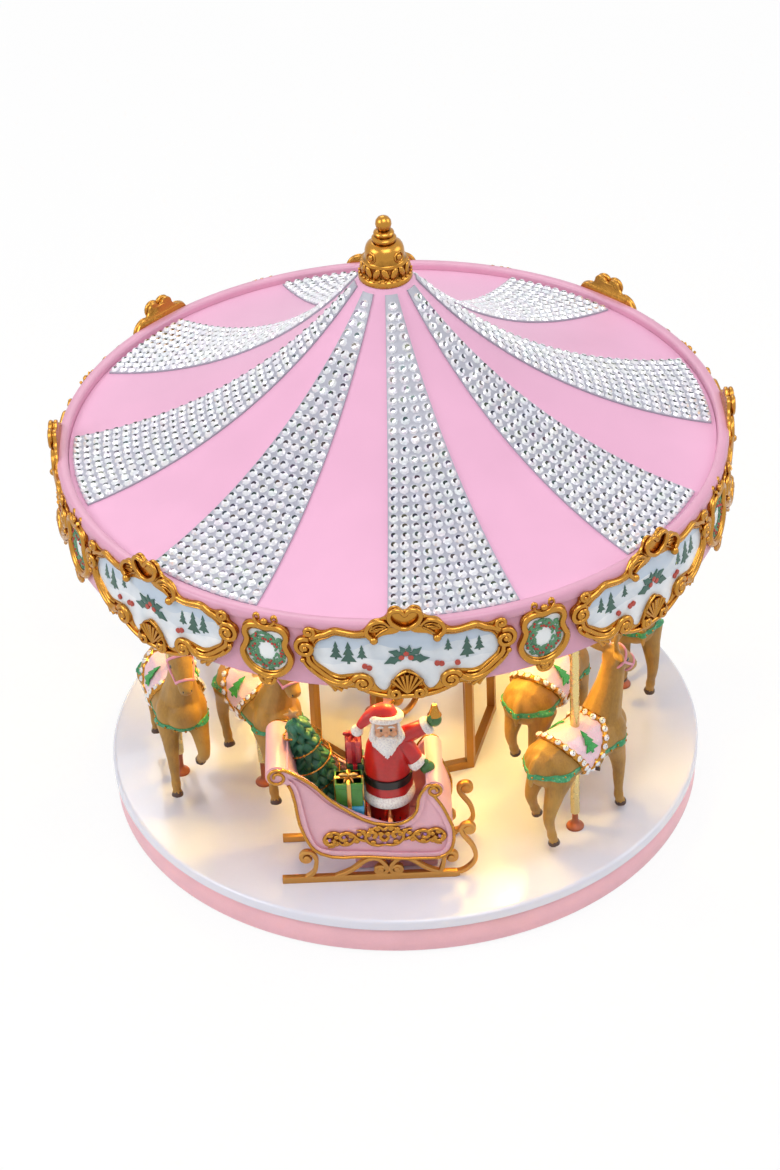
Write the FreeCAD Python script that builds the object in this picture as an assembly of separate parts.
"""Carousel music box: a turning deck, mirrored column and canopy on a low round base.

Millimetres, +Z up, origin at the centre of the base on the table, front towards -Y.
An azimuth is counted from the front (-Y) towards +X, and the carousel heads that way.
"""
import FreeCAD, Part
import math
import os

Vector = FreeCAD.Vector
UP = Vector(0, 0, 1)

# Base
BASE_RADIUS = 134.2
BASE_WALL = 2.4
FOOT_HEIGHT = 1.2
FOOT_RADIUS = 7.0
FOOT_CIRCLE = 108.0
FOOT_COUNT = 4
COVER_THICKNESS = 2.0
COVER_CLEARANCE = 0.2
SCREW_CIRCLE = 124.0
SCREW_RADIUS = 1.4
SCREW_HEAD_RADIUS = 2.6
SCREW_HEAD_HEIGHT = 0.8
SCREW_LENGTH = 6.0
SCREW_BOSS_RADIUS = 4.0
HOUSING_HEIGHT = 12.1
FLANGE_THICKNESS = 2.0
GEAR_WELL_RADIUS = 96.0

# Fits
RUNNING_GAP = 0.3
SHAFT_CLEARANCE = 0.05
SEAT_CLEARANCE = 0.02

# Deck and its bearing
DECK_RADIUS = 135.2
DECK_PLATE = 3.0
DECK_RIM_DEPTH = 5.4
DECK_RIM_WALL = 4.0
DECK_EDGE_ROUND = 1.3
DECK_HUB_RADIUS = 11.0
DECK_HUB_DEPTH = 2.8
POST_RADIUS = 6.0
POST_BORE = 3.5
POST_FLANGE_RADIUS = 20.0
POST_FLANGE_THICKNESS = 2.0
POST_SHOULDER_RADIUS = 11.0
WASHER_THICKNESS = 0.8

# Drive
GEAR_MODULE = 2.0
RING_TEETH = 50
PINION_TEETH = 18
PRESSURE_ANGLE = 20.0
GEAR_BACKLASH = 0.24
RING_RIM = 5.0
RING_THICKNESS = 3.6
PINION_THICKNESS = 3.2
PINION_HEADROOM = 0.4
PINION_SHAFT_RADIUS = 1.5
MOTOR_HEIGHT = 8.4
GEARBOX_SIDE = 15.0
MOTOR_CAN_LENGTH = 25.0
MOTOR_CAN_WIDTH = 12.0
MOTOR_CAP_RADIUS = 2.2
MOTOR_CAP_HEIGHT = 1.6
GEARBOX_ROUND = 2.0

# Sound and controls
SPEAKER_RADIUS = 20.0
SPEAKER_HEIGHT = 6.0
SPEAKER_DISTANCE = 70.0
SPEAKER_EDGE = 1.2
SOUND_SLOTS = 5
SOUND_SLOT_WIDTH = 1.6
BOARD_LENGTH = 44.0
BOARD_WIDTH = 30.0
BOARD_THICKNESS = 1.6
BOARD_POST_HEIGHT = 3.0
BOARD_POST_RADIUS = 2.4
CONTROL_HEIGHT = 7.2
INLET_AZIMUTH = 180.0
INLET_NOSE_RADIUS = 3.9
INLET_BORE_RADIUS = 2.75
INLET_PIN_RADIUS = 1.0
INLET_DEPTH = 9.0
INLET_BODY = 14.0
KNOB_AZIMUTH = 160.0
KNOB_RADIUS = 4.6
KNOB_LENGTH = 4.4
KNOB_SHAFT_RADIUS = 1.5
KNOB_FLUTES = 10
BUTTON_AZIMUTH = 200.0
BUTTON_RADIUS = 3.0
BUTTON_STAND_OUT = 1.8
BUTTON_TRAVEL = 1.2
BUTTON_FLANGE = 1.0
BUTTON_LIP = 0.7

# Mirrored column
COLUMN_RADIUS = 44.2
COLUMN_SIDES = 6
COLUMN_CORNER = 44.0
COLUMN_HEIGHT = 133.0
COLUMN_WALL = 1.8
COLUMN_POST_WIDTH = 3.2
COLUMN_RAIL = 4.0
MIRROR_THICKNESS = 1.5

# Canopy
DRUM_RADIUS = 144.5
DRUM_WALL = 4.2
DRUM_HEIGHT = 30.4
DRUM_LEDGE = 4.3
DRUM_LEDGE_THICKNESS = 2.0
DRUM_LIP_ROUND = 1.5
SOFFIT_THICKNESS = 2.4
SOFFIT_HOLE_RADIUS = 10.0
COVER_EDGE = 2.6
COVER_BELOW_LIP = 0.8
COVER_WALL = 2.0
CANOPY_RISE = 77.7
CANOPY_SAG = 14.5
FINIAL_SEAT_RADIUS = 11.0
FINIAL_STUD_RADIUS = 3.0
FINIAL_STUD_LENGTH = 8.0
STRIPE_COUNT = 8
STRIPE_ARC = 22.5
STRIPE_START = -2.1
STRIPE_OUTER_RADIUS = 138.0
STRIPE_INNER_RADIUS = 12.6
STRIPE_HEIGHT = 0.9
LAMP_COUNT = 6
LAMP_CIRCLE = 56.0
LAMP_RADIUS = 3.0

# Finial, as radius and height over its seat
FINIAL_BASE_RADIUS = 11.5
FINIAL_BASE_HEIGHT = 3.0
FINIAL_BAND_RADIUS = 10.3
FINIAL_BAND_TOP = 8.6
FINIAL_BELL_RADIUS = 8.9
FINIAL_BELL_TOP = 16.6
FINIAL_RINGS = [(5.3, 18.2, 1.5), (4.4, 20.9, 1.3)]
FINIAL_BALL_RADIUS = 3.5
FINIAL_BALL_HEIGHT = 25.2
FINIAL_BOSSES = 4
FINIAL_BOSS_RADIUS = 1.7

# Frames round the drum, as outlines of tangent distance and height about a frame's middle
LARGE_FRAMES = 8
LARGE_FRAME_START = 0.7
LARGE_FRAME_MIDDLE = 170.9
FRAME_DEPTH = 3.0
CREST_DEPTH = 4.4
PICTURE_DEPTH = 1.1
PICTURE_FIT = 0.995
LARGE_OUTLINE = [(0, 11.6), (12, 11.0), (22, 10.6), (28, 11.8), (34, 9.6), (40, 7.6), (44.4, 2.4),
                 (42.4, -4.6), (36, -10.0), (28, -15.6), (19, -17.6), (10, -21.6), (0, -22.6)]
LARGE_OPENING = [(0, 12.4), (4, 8.0), (12, 8.2), (22, 7.4), (31, 6.4), (36, 1.6), (33, -5.4),
                 (26, -10.4), (15, -11.8), (9, -17.4), (4, -18.4), (0, -12.8)]
LARGE_BOSSES = [(3.2, 18.6, 4.2), (10.4, 13.6, 4.6), (14.0, 8.6, 2.0), (40.2, 2.6, 4.0), (38.0, 9.4, 2.0),
                (39.0, -7.4, 1.8), (17.6, -15.0, 4.2), (27.5, -15.2, 3.4), (5.6, -18.6, 3.2)]
SMALL_FRAMES = 8
SMALL_FRAME_START = 23.2
SMALL_FRAME_MIDDLE = 167.4
SMALL_OUTLINE = [(0, 13.6), (5, 14.6), (10.5, 9.6), (11.6, 3.0), (10.5, -4.0), (7.3, -10.6), (0, -14.6)]
SMALL_OPENING = [(0, 9.6), (5, 9.8), (8.2, 6.0), (9.4, 1.0), (8.0, -5.0), (4.6, -9.4), (0, -10.6)]
SMALL_BOSSES = [(0.0, 13.4, 3.0), (0.0, -14.0, 3.2)]

# Lifting gear: pairs of deer, each pair on one rocker over the soffit
PAIRS = 5
PAIR_STEP = 60.0
FIRST_PAIR = 44.0
OUTER_CIRCLE = 106.0
INNER_CIRCLE = 74.0
INNER_LEAD = 15.0
HALF_STROKE = 4.5
CAM_LOBES = 4
FIRST_PHASE = -142.6
POLE_FOOT_HEIGHT = 11.8
POLE_RADIUS = 2.1
PIN_RADIUS = 1.35
PIN_LENGTH = 52.0
PIN_FOOT_RADIUS = 4.0
PIN_FOOT_HEIGHT = 1.7
BUSH_RADIUS = 4.0
BUSH_FLANGE_RADIUS = 5.4
BUSH_FLANGE = 1.2
BUSH_STAND_DOWN = 0.9
ROCKER_HEIGHT = 16.0
ROCKER_SHAFT_RADIUS = 2.0
ROCKER_INNER_END = 42.5
ROCKER_OUTER_END = 112.0
BEARING_STATIONS = [52.0, 88.0]
BEARING_WIDTH = 9.0
BEARING_THICKNESS = 5.0
BEARING_WALL = 2.4
ARM_THICKNESS = 2.4
ARM_HALF_HEIGHT = 3.0
ARM_OFFSET = 4.4
CROSS_PIN_RADIUS = 1.0
CROSS_PIN_LENGTH = 8.0
SLOT_CLEARANCE = 0.3
CAM_RADIUS = 33.4
CAM_HEIGHT = 19.0
CAM_WALL = 6.0
CAM_WEB = 3.0
GROOVE_DEPTH = 3.0
FOLLOWER_GAP = 0.4

# Deer, with its pole at the origin and heights over the pole's foot:
# barrel and neck stations are forward, height, half width and half depth
BARREL = [(-24.0, 35.5, 4.5, 5.5), (-20.5, 37.0, 10.2, 10.4), (-12.0, 37.6, 12.0, 11.8),
          (0.0, 37.2, 11.6, 11.6), (12.0, 37.4, 11.8, 12.4), (21.0, 38.6, 9.8, 11.2), (27.0, 40.0, 5.0, 6.5)]
NECK = [(17.0, 42.0, 10.6, 9.6), (20.0, 52.0, 8.4, 8.6), (23.5, 62.0, 6.4, 7.0), (26.0, 71.0, 5.4, 6.0)]
HEAD = [(21.0, 75.0, 3.6, 4.0), (26.0, 75.0, 5.4, 6.2), (31.0, 71.0, 4.8, 5.4), (36.0, 65.6, 3.4, 3.8),
        (38.6, 62.6, 2.6, 2.8)]
LEGS = [
    [(17.0, 6.5, 34.0, 6.0), (21.0, 6.6, 22.0, 4.0), (21.6, 6.4, 12.0, 2.7), (22.0, 6.2, 1.0, 2.3),
     (23.2, 6.2, -5.4, 3.0)],
    [(19.0, -5.8, 34.0, 5.6), (27.5, -6.6, 25.0, 3.9), (29.0, -6.4, 19.0, 3.0), (24.0, -6.2, 14.0, 2.3),
     (20.0, -6.2, 9.4, 2.9)],
    [(-17.0, 6.5, 34.0, 7.0), (-21.5, 6.6, 24.0, 4.4), (-24.0, 6.4, 14.0, 2.8), (-21.8, 6.2, 4.0, 2.4),
     (-20.6, 6.2, -1.8, 3.0)],
    [(-15.0, -6.5, 34.0, 7.0), (-18.0, -6.6, 25.0, 4.4), (-21.5, -6.4, 18.0, 2.8), (-19.4, -6.2, 11.0, 2.4),
     (-18.0, -6.2, 6.6, 3.0)],
]
TAIL = [(-22.0, 43.0, 2.6), (-26.0, 40.0, 2.2), (-28.4, 35.0, 0.8)]
EAR = [(24.0, 2.4, 77.0, 1.7), (20.5, 7.6, 80.0, 2.3), (17.6, 12.4, 81.6, 0.7)]
ANTLER_BEAM = [(25.0, 2.4, 77.5, 1.5), (19.5, 6.4, 87.0, 1.2), (20.5, 8.8, 95.0, 0.8)]
ANTLER_TINE = [(19.7, 6.3, 86.4, 1.1), (24.0, 7.0, 91.0, 0.7)]
BLANKET_THICKNESS = 1.3
BLANKET_OUTLINE = [(-16.5, 53.0), (-14.5, 44.0), (-9.0, 35.0), (-1.0, 28.6), (7.0, 35.0), (12.0, 44.0),
                   (13.0, 53.0)]

# Sleigh, as lengths along its heading and heights over the deck
SLEIGH_NEAR = -109.0
SLEIGH_WIDTH = 34.0
SLEIGH_WALL = 2.0
SLEIGH_OUTLINE = [(-52.5, 61.4), (-41.5, 53.9), (-29.3, 40.5), (-9.0, 29.0), (1.7, 33.2), (5.7, 46.0),
                  (9.8, 50.6), (11.6, 43.6), (16.4, 33.4), (19.2, 20.0), (15.4, 9.6), (5.0, 8.0),
                  (-18.0, 10.2), (-38.6, 12.8), (-45.1, 23.8), (-49.2, 49.0), (-52.8, 54.6)]
SLEIGH_CAVITY = [(-48.6, 70.0), (-46.6, 50.0), (-42.4, 25.0), (-37.0, 16.6), (-18.0, 14.0), (4.0, 12.0),
                 (12.6, 14.6), (16.0, 21.0), (12.6, 34.0), (7.4, 45.0), (6.6, 70.0)]
SLEIGH_BACK_ROLL = (-55.0, 57.2, 4.6)
SLEIGH_FRONT_ROLL = (11.4, 47.2, 3.6)
PEDESTAL = (-24.0, 12.0)
PEDESTAL_WIDTH = 14.0
PEDESTAL_TOP = 12.6
TRIM_HEIGHT = 0.7
TRIM_WIDTH = 1.3
ORNAMENT_LENGTH = 46.0
ORNAMENT_MIDDLE = (-7.5, 20.4)
ORNAMENT_LOBES = 9
RUNNER_SPACING = 28.0
RUNNER_THICKNESS = 2.6
RUNNER_BAR = (-56.0, 21.5)
RUNNER_BAR_HEIGHT = 3.4
SCROLL_WIDTH = 1.9

# Figure, tree and gifts in the sleigh, as places along, across and over the deck
DRIVER_PLACE = (-8.0, -93.5)
DRIVER_FLOOR = 14.4
COAT = [(9.0, 22.0), (10.6, 23.0), (10.8, 27.6), (9.8, 29.0), (9.7, 42.0), (8.8, 54.0), (6.2, 61.0),
        (3.6, 63.0)]
BOOT_RADIUS = 3.6
HEAD_RADIUS = 6.2
HEAD_HEIGHT = 67.6
CAP = [(-0.2, 71.0, 6.8), (-1.2, 78.0, 5.6), (-4.6, 81.6, 4.0), (-9.0, 79.6, 2.8), (-12.4, 76.0, 1.6)]
POMPOM_RADIUS = 2.8
BEARD = [(-3.4, 69.0, 4.6), (-6.4, 62.0, 5.6), (-7.6, 55.0, 4.6), (-8.2, 48.6, 1.6)]
ARM_RADIUS = 3.4
RAISED_ARM = [(4.5, 0.0, 59.0), (16.5, -1.0, 72.0)]
RAISED_MITTEN = (19.6, -1.0, 76.4)
LOW_ARM = [(6.5, -2.0, 57.0), (11.4, -4.0, 52.8)]
LOW_MITTEN = (14.3, -4.4, 52.4)
MITTEN_RADIUS = 3.3
BELL_RADIUS = 3.0
BELL_HEIGHT = 7.0
TREE_FOOT = (-30.5, -87.0, 17.0)
TREE_TIP = (-47.5, -87.0, 76.0)
TREE_TRUNK_RADIUS = 1.6
TREE_TIERS = [(0.30, 8.6, 0.55), (0.47, 7.0, 0.72), (0.63, 5.4, 0.88), (0.78, 3.8, 1.0)]
STAR_RADIUS = 3.4
STAR_POINTS = 5
STAR_THICKNESS = 1.2
GIFTS = [(-25.0, -101.0, 16.0, 11.6, 10.4, 19.4), (-25.0, -101.0, 35.42, 10.6, 9.4, 11.0),
         (-22.4, -88.0, 15.3, 6.6, 11.0, 35.3), (-22.4, -88.4, 50.62, 6.4, 8.6, 14.0)]
RIBBON = 0.5
RIBBON_WIDTH = 1.8

# Heights that follow from the driving dimensions
COVER_TOP = FOOT_HEIGHT + COVER_THICKNESS
HOUSING_TOP = FOOT_HEIGHT + HOUSING_HEIGHT
DECK_BOTTOM = HOUSING_TOP + RUNNING_GAP
DECK_TOP = DECK_BOTTOM + DECK_RIM_DEPTH
DECK_UNDER = DECK_TOP - DECK_PLATE
SOFFIT_BOTTOM = DECK_TOP + COLUMN_HEIGHT
SOFFIT_TOP = SOFFIT_BOTTOM + SOFFIT_THICKNESS
DRUM_TOP = SOFFIT_BOTTOM + DRUM_HEIGHT
DRUM_BORE = DRUM_RADIUS - DRUM_WALL
COVER_RADIUS = DRUM_BORE - COVER_CLEARANCE
COVER_EDGE_TOP = DRUM_TOP - COVER_BELOW_LIP
COVER_SEAT = COVER_EDGE_TOP - COVER_EDGE
FINIAL_SEAT = COVER_EDGE_TOP + CANOPY_RISE
ROCKER_AXIS = SOFFIT_TOP + ROCKER_HEIGHT
GEAR_CENTRES = GEAR_MODULE * (RING_TEETH + PINION_TEETH) / 2
HUB_BOTTOM = DECK_UNDER - DECK_HUB_DEPTH

# The rocker lies between its two poles, the same arm's length from both
LEAD = math.radians(INNER_LEAD)
ROCKER_TURN = math.atan2(INNER_CIRCLE * math.sin(LEAD), OUTER_CIRCLE + INNER_CIRCLE * math.cos(LEAD))
ARM_LENGTH = OUTER_CIRCLE * math.sin(ROCKER_TURN)
OUTER_STATION = OUTER_CIRCLE * math.cos(ROCKER_TURN)
INNER_STATION = INNER_CIRCLE * math.cos(LEAD - ROCKER_TURN)
FOLLOWER_STATION = math.sqrt((CAM_RADIUS + FOLLOWER_GAP) ** 2 - (ARM_LENGTH - CROSS_PIN_RADIUS) ** 2)


def turned(shape, azimuth):
    """A copy of a shape made at the front, turned to an azimuth."""
    copy = shape.copy()
    copy.rotate(Vector(0, 0, 0), UP, azimuth)
    return copy


def moved(shape, x, y, z):
    """A copy of a shape, moved."""
    copy = shape.copy()
    copy.translate(Vector(x, y, z))
    return copy


def disc(radius, bottom, top):
    """An upright cylinder on the main axis."""
    return Part.makeCylinder(radius, top - bottom, Vector(0, 0, bottom))


def ring(inner, outer, bottom, top):
    """An upright ring on the main axis."""
    return disc(outer, bottom, top).cut(disc(inner, bottom - 1, top + 1))


def rod(radius, start, end):
    """A round rod between two points."""
    along = Vector(*end) - Vector(*start)
    return Part.makeCylinder(radius, along.Length, Vector(*start), along)


def block(x, y, z):
    """A box from three ranges."""
    return Part.makeBox(x[1] - x[0], y[1] - y[0], z[1] - z[0], Vector(x[0], y[0], z[0]))


def fused(shapes):
    """One solid from overlapping shapes."""
    whole = shapes[0]
    if len(shapes) > 1:
        whole = shapes[0].multiFuse(shapes[1:])
    return whole.removeSplitter()


def group(shapes):
    """Separate solids that share one node."""
    return Part.makeCompound(shapes)


def closed_curve(points):
    """A closed smooth wire through points."""
    curve = Part.BSplineCurve()
    curve.interpolate(points, PeriodicFlag=True)
    return Part.Wire(curve.toShape())


def upright_curve(outline, y):
    """A closed smooth wire in an upright plane across Y, from points of length and height."""
    return closed_curve([Vector(x, y, z) for x, z in outline])


def mirrored(half):
    """A whole outline from its right half, which starts and ends on the middle line."""
    return half + [(-x, z) for x, z in reversed(half[1:-1])]


def revolved(edges, angle=360.0):
    """A solid from a closed profile in the XZ plane, turned about the main axis."""
    face = Part.Face(Part.Wire(Part.__sortEdges__(edges)))
    return face.revolve(Vector(0, 0, 0), UP, angle)


def chain(points):
    """Straight edges through profile points of radius and height."""
    ends = [Vector(r, 0, z) for r, z in points]
    return [Part.LineSegment(a, b).toShape() for a, b in zip(ends, ends[1:])]


def arc(first, middle, last):
    """A profile arc through three points of radius and height."""
    a, b, c = [Vector(r, 0, z) for r, z in (first, middle, last)]
    return Part.Arc(a, b, c).toShape()


def round_loft(stations):
    """A smooth solid through circles set square to the line of their centres."""
    centres = [Vector(*station[:3]) for station in stations]
    wires = []
    for index, station in enumerate(stations):
        ahead = centres[min(index + 1, len(centres) - 1)]
        behind = centres[max(index - 1, 0)]
        circle = Part.Circle(centres[index], ahead - behind, station[3])
        wires.append(Part.Wire(circle.toShape()))
    return Part.makeLoft(wires, True, False)


def oval_loft(stations, tilt):
    """A smooth solid through ovals across Y, each leaning from upright by the tilt in degrees."""
    lean = math.radians(tilt)
    depth_axis = Vector(-math.sin(lean), 0, math.cos(lean))
    width_axis = Vector(0, 1, 0)
    wires = []
    for x, z, half_width, half_depth in stations:
        points = []
        for step in range(12):
            turn = 2 * math.pi * step / 12
            offset = width_axis * (half_width * math.cos(turn)) + depth_axis * (half_depth * math.sin(turn))
            points.append(Vector(x, 0, z) + offset)
        wires.append(closed_curve(points))
    return Part.makeLoft(wires, True, False)


def base_wall_hole(radius, azimuth):
    """A round cutter through the base wall at the height of the controls."""
    inner = BASE_RADIUS - 4 * BASE_WALL
    cutter = rod(radius, (0, -inner, CONTROL_HEIGHT), (0, -BASE_RADIUS - BASE_WALL, CONTROL_HEIGHT))
    return turned(cutter, azimuth)


def screw_azimuths():
    """Places of the cover screws, between the feet."""
    step = 360.0 / FOOT_COUNT
    return [step * index for index in range(FOOT_COUNT)]


def base_housing():
    """Base wall with its inner flange, screw bosses and control holes."""
    wall = ring(BASE_RADIUS - BASE_WALL, BASE_RADIUS, FOOT_HEIGHT, HOUSING_TOP)
    flange = ring(GEAR_WELL_RADIUS, BASE_RADIUS, HOUSING_TOP - FLANGE_THICKNESS, HOUSING_TOP)
    boss = Part.makeCylinder(SCREW_BOSS_RADIUS, HOUSING_TOP - COVER_TOP - FLANGE_THICKNESS / 2,
                             Vector(0, -SCREW_CIRCLE, COVER_TOP))
    hole = Part.makeCylinder(SCREW_RADIUS + SEAT_CLEARANCE, SCREW_LENGTH, Vector(0, -SCREW_CIRCLE, COVER_TOP))
    boss = boss.cut(hole)
    housing = fused([wall, flange] + [turned(boss, azimuth + 45) for azimuth in screw_azimuths()])
    housing = housing.cut(base_wall_hole(INLET_NOSE_RADIUS + SEAT_CLEARANCE, INLET_AZIMUTH))
    housing = housing.cut(base_wall_hole(KNOB_SHAFT_RADIUS + SHAFT_CLEARANCE, KNOB_AZIMUTH))
    return housing.cut(base_wall_hole(BUTTON_RADIUS + SHAFT_CLEARANCE, BUTTON_AZIMUTH))


def bottom_cover():
    """Cover plate with board posts, sound slots and screw holes."""
    plate = disc(BASE_RADIUS - BASE_WALL - COVER_CLEARANCE, FOOT_HEIGHT, COVER_TOP)
    for index in range(SOUND_SLOTS):
        x = (index - (SOUND_SLOTS - 1) / 2) * 3 * SOUND_SLOT_WIDTH
        half = SPEAKER_RADIUS * 0.6
        slot = block((x - SOUND_SLOT_WIDTH / 2, x + SOUND_SLOT_WIDTH / 2),
                     (-SPEAKER_DISTANCE - half, -SPEAKER_DISTANCE + half), (FOOT_HEIGHT - 1, COVER_TOP + 1))
        plate = plate.cut(slot)
    for azimuth in screw_azimuths():
        hole = Part.makeCylinder(SCREW_RADIUS + SEAT_CLEARANCE, 2 * COVER_THICKNESS,
                                 Vector(0, -SCREW_CIRCLE, FOOT_HEIGHT - 1))
        plate = plate.cut(turned(hole, azimuth + 45))
    posts = []
    for x, y in board_post_places():
        posts.append(Part.makeCylinder(BOARD_POST_RADIUS, BOARD_POST_HEIGHT + COVER_THICKNESS / 2,
                                       Vector(x, y, COVER_TOP - COVER_THICKNESS / 2)))
    return fused([plate] + posts)


def board_middle():
    """Place of the board, beside the centre post."""
    return -(POST_FLANGE_RADIUS + BOARD_LENGTH), BOARD_WIDTH / 2


def board_post_places():
    """Places of the posts under the board's corners."""
    x, y = board_middle()
    inset = BOARD_POST_RADIUS * 1.4
    return [(x + sx * (BOARD_LENGTH / 2 - inset), y + sy * (BOARD_WIDTH / 2 - inset))
            for sx in (-1, 1) for sy in (-1, 1)]


def rubber_feet():
    """Pads that the base stands on."""
    foot = Part.makeCone(FOOT_RADIUS - FOOT_HEIGHT / 2, FOOT_RADIUS, FOOT_HEIGHT, Vector(0, -FOOT_CIRCLE, 0))
    return group([turned(foot, azimuth) for azimuth in screw_azimuths()])


def cover_screws():
    """Screws through the cover into the housing's bosses."""
    head = Part.makeCylinder(SCREW_HEAD_RADIUS, SCREW_HEAD_HEIGHT,
                             Vector(0, -SCREW_CIRCLE, FOOT_HEIGHT - SCREW_HEAD_HEIGHT))
    shank = Part.makeCylinder(SCREW_RADIUS, SCREW_LENGTH, Vector(0, -SCREW_CIRCLE, FOOT_HEIGHT))
    screw = fused([head, shank])
    return group([turned(screw, azimuth + 45) for azimuth in screw_azimuths()])


def centre_post():
    """Fixed hollow post that carries the deck's washer and the cam."""
    shoulder_top = HUB_BOTTOM - WASHER_THICKNESS - SHAFT_CLEARANCE
    flange = disc(POST_FLANGE_RADIUS, COVER_TOP, COVER_TOP + POST_FLANGE_THICKNESS)
    shoulder = disc(POST_SHOULDER_RADIUS, COVER_TOP, shoulder_top)
    tube = disc(POST_RADIUS, COVER_TOP, ROCKER_AXIS + CAM_HEIGHT / 2)
    bore = disc(POST_BORE, 0, ROCKER_AXIS + CAM_HEIGHT)
    return fused([flange, shoulder, tube]).cut(bore)


def thrust_washer():
    """Washer between the post's shoulder and the deck's hub."""
    top = HUB_BOTTOM - SHAFT_CLEARANCE
    return ring(POST_RADIUS + SEAT_CLEARANCE, DECK_HUB_RADIUS, top - WASHER_THICKNESS, top)


def gear_motor():
    """Right-angle gear motor lying flat, with its output bore under the pinion."""
    half = GEARBOX_SIDE / 2
    bottom = COVER_TOP
    gearbox = block((-half, half), (GEAR_CENTRES - half, GEAR_CENTRES + half),
                    (bottom, bottom + MOTOR_HEIGHT))
    corners = [edge for edge in gearbox.Edges if abs(edge.Vertexes[0].Z - edge.Vertexes[1].Z) > 1]
    gearbox = gearbox.makeFillet(GEARBOX_ROUND, corners)
    middle = bottom + MOTOR_HEIGHT / 2
    can_end = half + MOTOR_CAN_LENGTH
    round_can = rod(MOTOR_CAN_WIDTH / 2, (half - 1, GEAR_CENTRES, middle), (can_end, GEAR_CENTRES, middle))
    flats = block((0, half + 2 * MOTOR_CAN_LENGTH), (0, 2 * GEAR_CENTRES), (bottom, bottom + MOTOR_HEIGHT))
    can = round_can.common(flats)
    cap = rod(MOTOR_CAP_RADIUS, (can_end - 1, GEAR_CENTRES, middle),
              (can_end + MOTOR_CAP_HEIGHT, GEAR_CENTRES, middle))
    bore = Part.makeCylinder(PINION_SHAFT_RADIUS + SHAFT_CLEARANCE, MOTOR_HEIGHT,
                             Vector(0, GEAR_CENTRES, bottom + COVER_THICKNESS))
    return fused([gearbox, can, cap]).cut(bore)


def circuit_board():
    """Board with its chip, two capacitors and a connector, on the cover's posts."""
    x, y = board_middle()
    bottom = COVER_TOP + BOARD_POST_HEIGHT
    top = bottom + BOARD_THICKNESS
    board = block((x - BOARD_LENGTH / 2, x + BOARD_LENGTH / 2), (y - BOARD_WIDTH / 2, y + BOARD_WIDTH / 2),
                  (bottom, top))
    chip = block((x - 8, x + 2), (y - 4, y + 4), (top, top + 1.4))
    connector = block((x + 12, x + 20), (y - 9, y - 4), (top, top + 3.4))
    capacitors = [Part.makeCylinder(2.4, 3.6, Vector(x + dx, y + 9, top)) for dx in (-12, -4)]
    return fused([board, chip, connector] + capacitors)


def speaker():
    """Small loudspeaker facing the sound slots: basket, magnet and open cone."""
    magnet = SPEAKER_RADIUS * 0.55
    profile = [(0, 0), (SPEAKER_RADIUS, 0), (SPEAKER_RADIUS, SPEAKER_EDGE), (magnet, SPEAKER_HEIGHT * 0.55),
               (magnet, SPEAKER_HEIGHT), (0, SPEAKER_HEIGHT), (0, 0)]
    body = revolved(chain(profile))
    cone = Part.makeCone(SPEAKER_RADIUS * 0.84, SPEAKER_RADIUS * 0.3, SPEAKER_HEIGHT * 0.4)
    return moved(body.cut(cone), 0, -SPEAKER_DISTANCE, COVER_TOP)


def power_inlet():
    """Low-voltage inlet: a body inside the wall, a nose through it, a socket and its pin."""
    inside = BASE_RADIUS - BASE_WALL - 1.0
    nose = rod(INLET_NOSE_RADIUS, (0, -inside, CONTROL_HEIGHT), (0, -BASE_RADIUS, CONTROL_HEIGHT))
    half = INLET_NOSE_RADIUS + 0.1
    body = block((-half, half), (-inside, -inside + INLET_BODY),
                 (COVER_TOP, CONTROL_HEIGHT + INLET_NOSE_RADIUS))
    floor = -BASE_RADIUS + INLET_DEPTH
    socket = rod(INLET_BORE_RADIUS, (0, floor, CONTROL_HEIGHT), (0, -BASE_RADIUS - 1, CONTROL_HEIGHT))
    pin = rod(INLET_PIN_RADIUS, (0, floor + 1, CONTROL_HEIGHT), (0, -BASE_RADIUS + 1, CONTROL_HEIGHT))
    inlet = fused([fused([nose, body]).cut(socket), pin])
    return turned(inlet, INLET_AZIMUTH)


def volume_knob():
    """Fluted knob on a shaft through the base wall."""
    face = BASE_RADIUS + RUNNING_GAP
    cap = rod(KNOB_RADIUS, (0, -face, CONTROL_HEIGHT), (0, -face - KNOB_LENGTH, CONTROL_HEIGHT))
    for index in range(KNOB_FLUTES):
        turn = 2 * math.pi * index / KNOB_FLUTES
        x = (KNOB_RADIUS + 0.3) * math.sin(turn)
        z = CONTROL_HEIGHT + (KNOB_RADIUS + 0.3) * math.cos(turn)
        cap = cap.cut(rod(0.8, (x, -face - 1, z), (x, -face - 2 * KNOB_LENGTH, z)))
    shaft = rod(KNOB_SHAFT_RADIUS, (0, -face + 3 * BASE_WALL, CONTROL_HEIGHT), (0, -face - 1, CONTROL_HEIGHT))
    return turned(fused([cap, shaft]), KNOB_AZIMUTH)


def power_button():
    """Round push button, kept in the wall by its inner flange."""
    inside = BASE_RADIUS - BASE_WALL - RUNNING_GAP
    plunger = rod(BUTTON_RADIUS, (0, -inside + BUTTON_FLANGE, CONTROL_HEIGHT),
                  (0, -BASE_RADIUS - BUTTON_STAND_OUT, CONTROL_HEIGHT))
    flange = rod(BUTTON_RADIUS + BUTTON_LIP, (0, -inside + BUTTON_FLANGE, CONTROL_HEIGHT),
                 (0, -inside, CONTROL_HEIGHT))
    return turned(fused([plunger, flange]), BUTTON_AZIMUTH)


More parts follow.
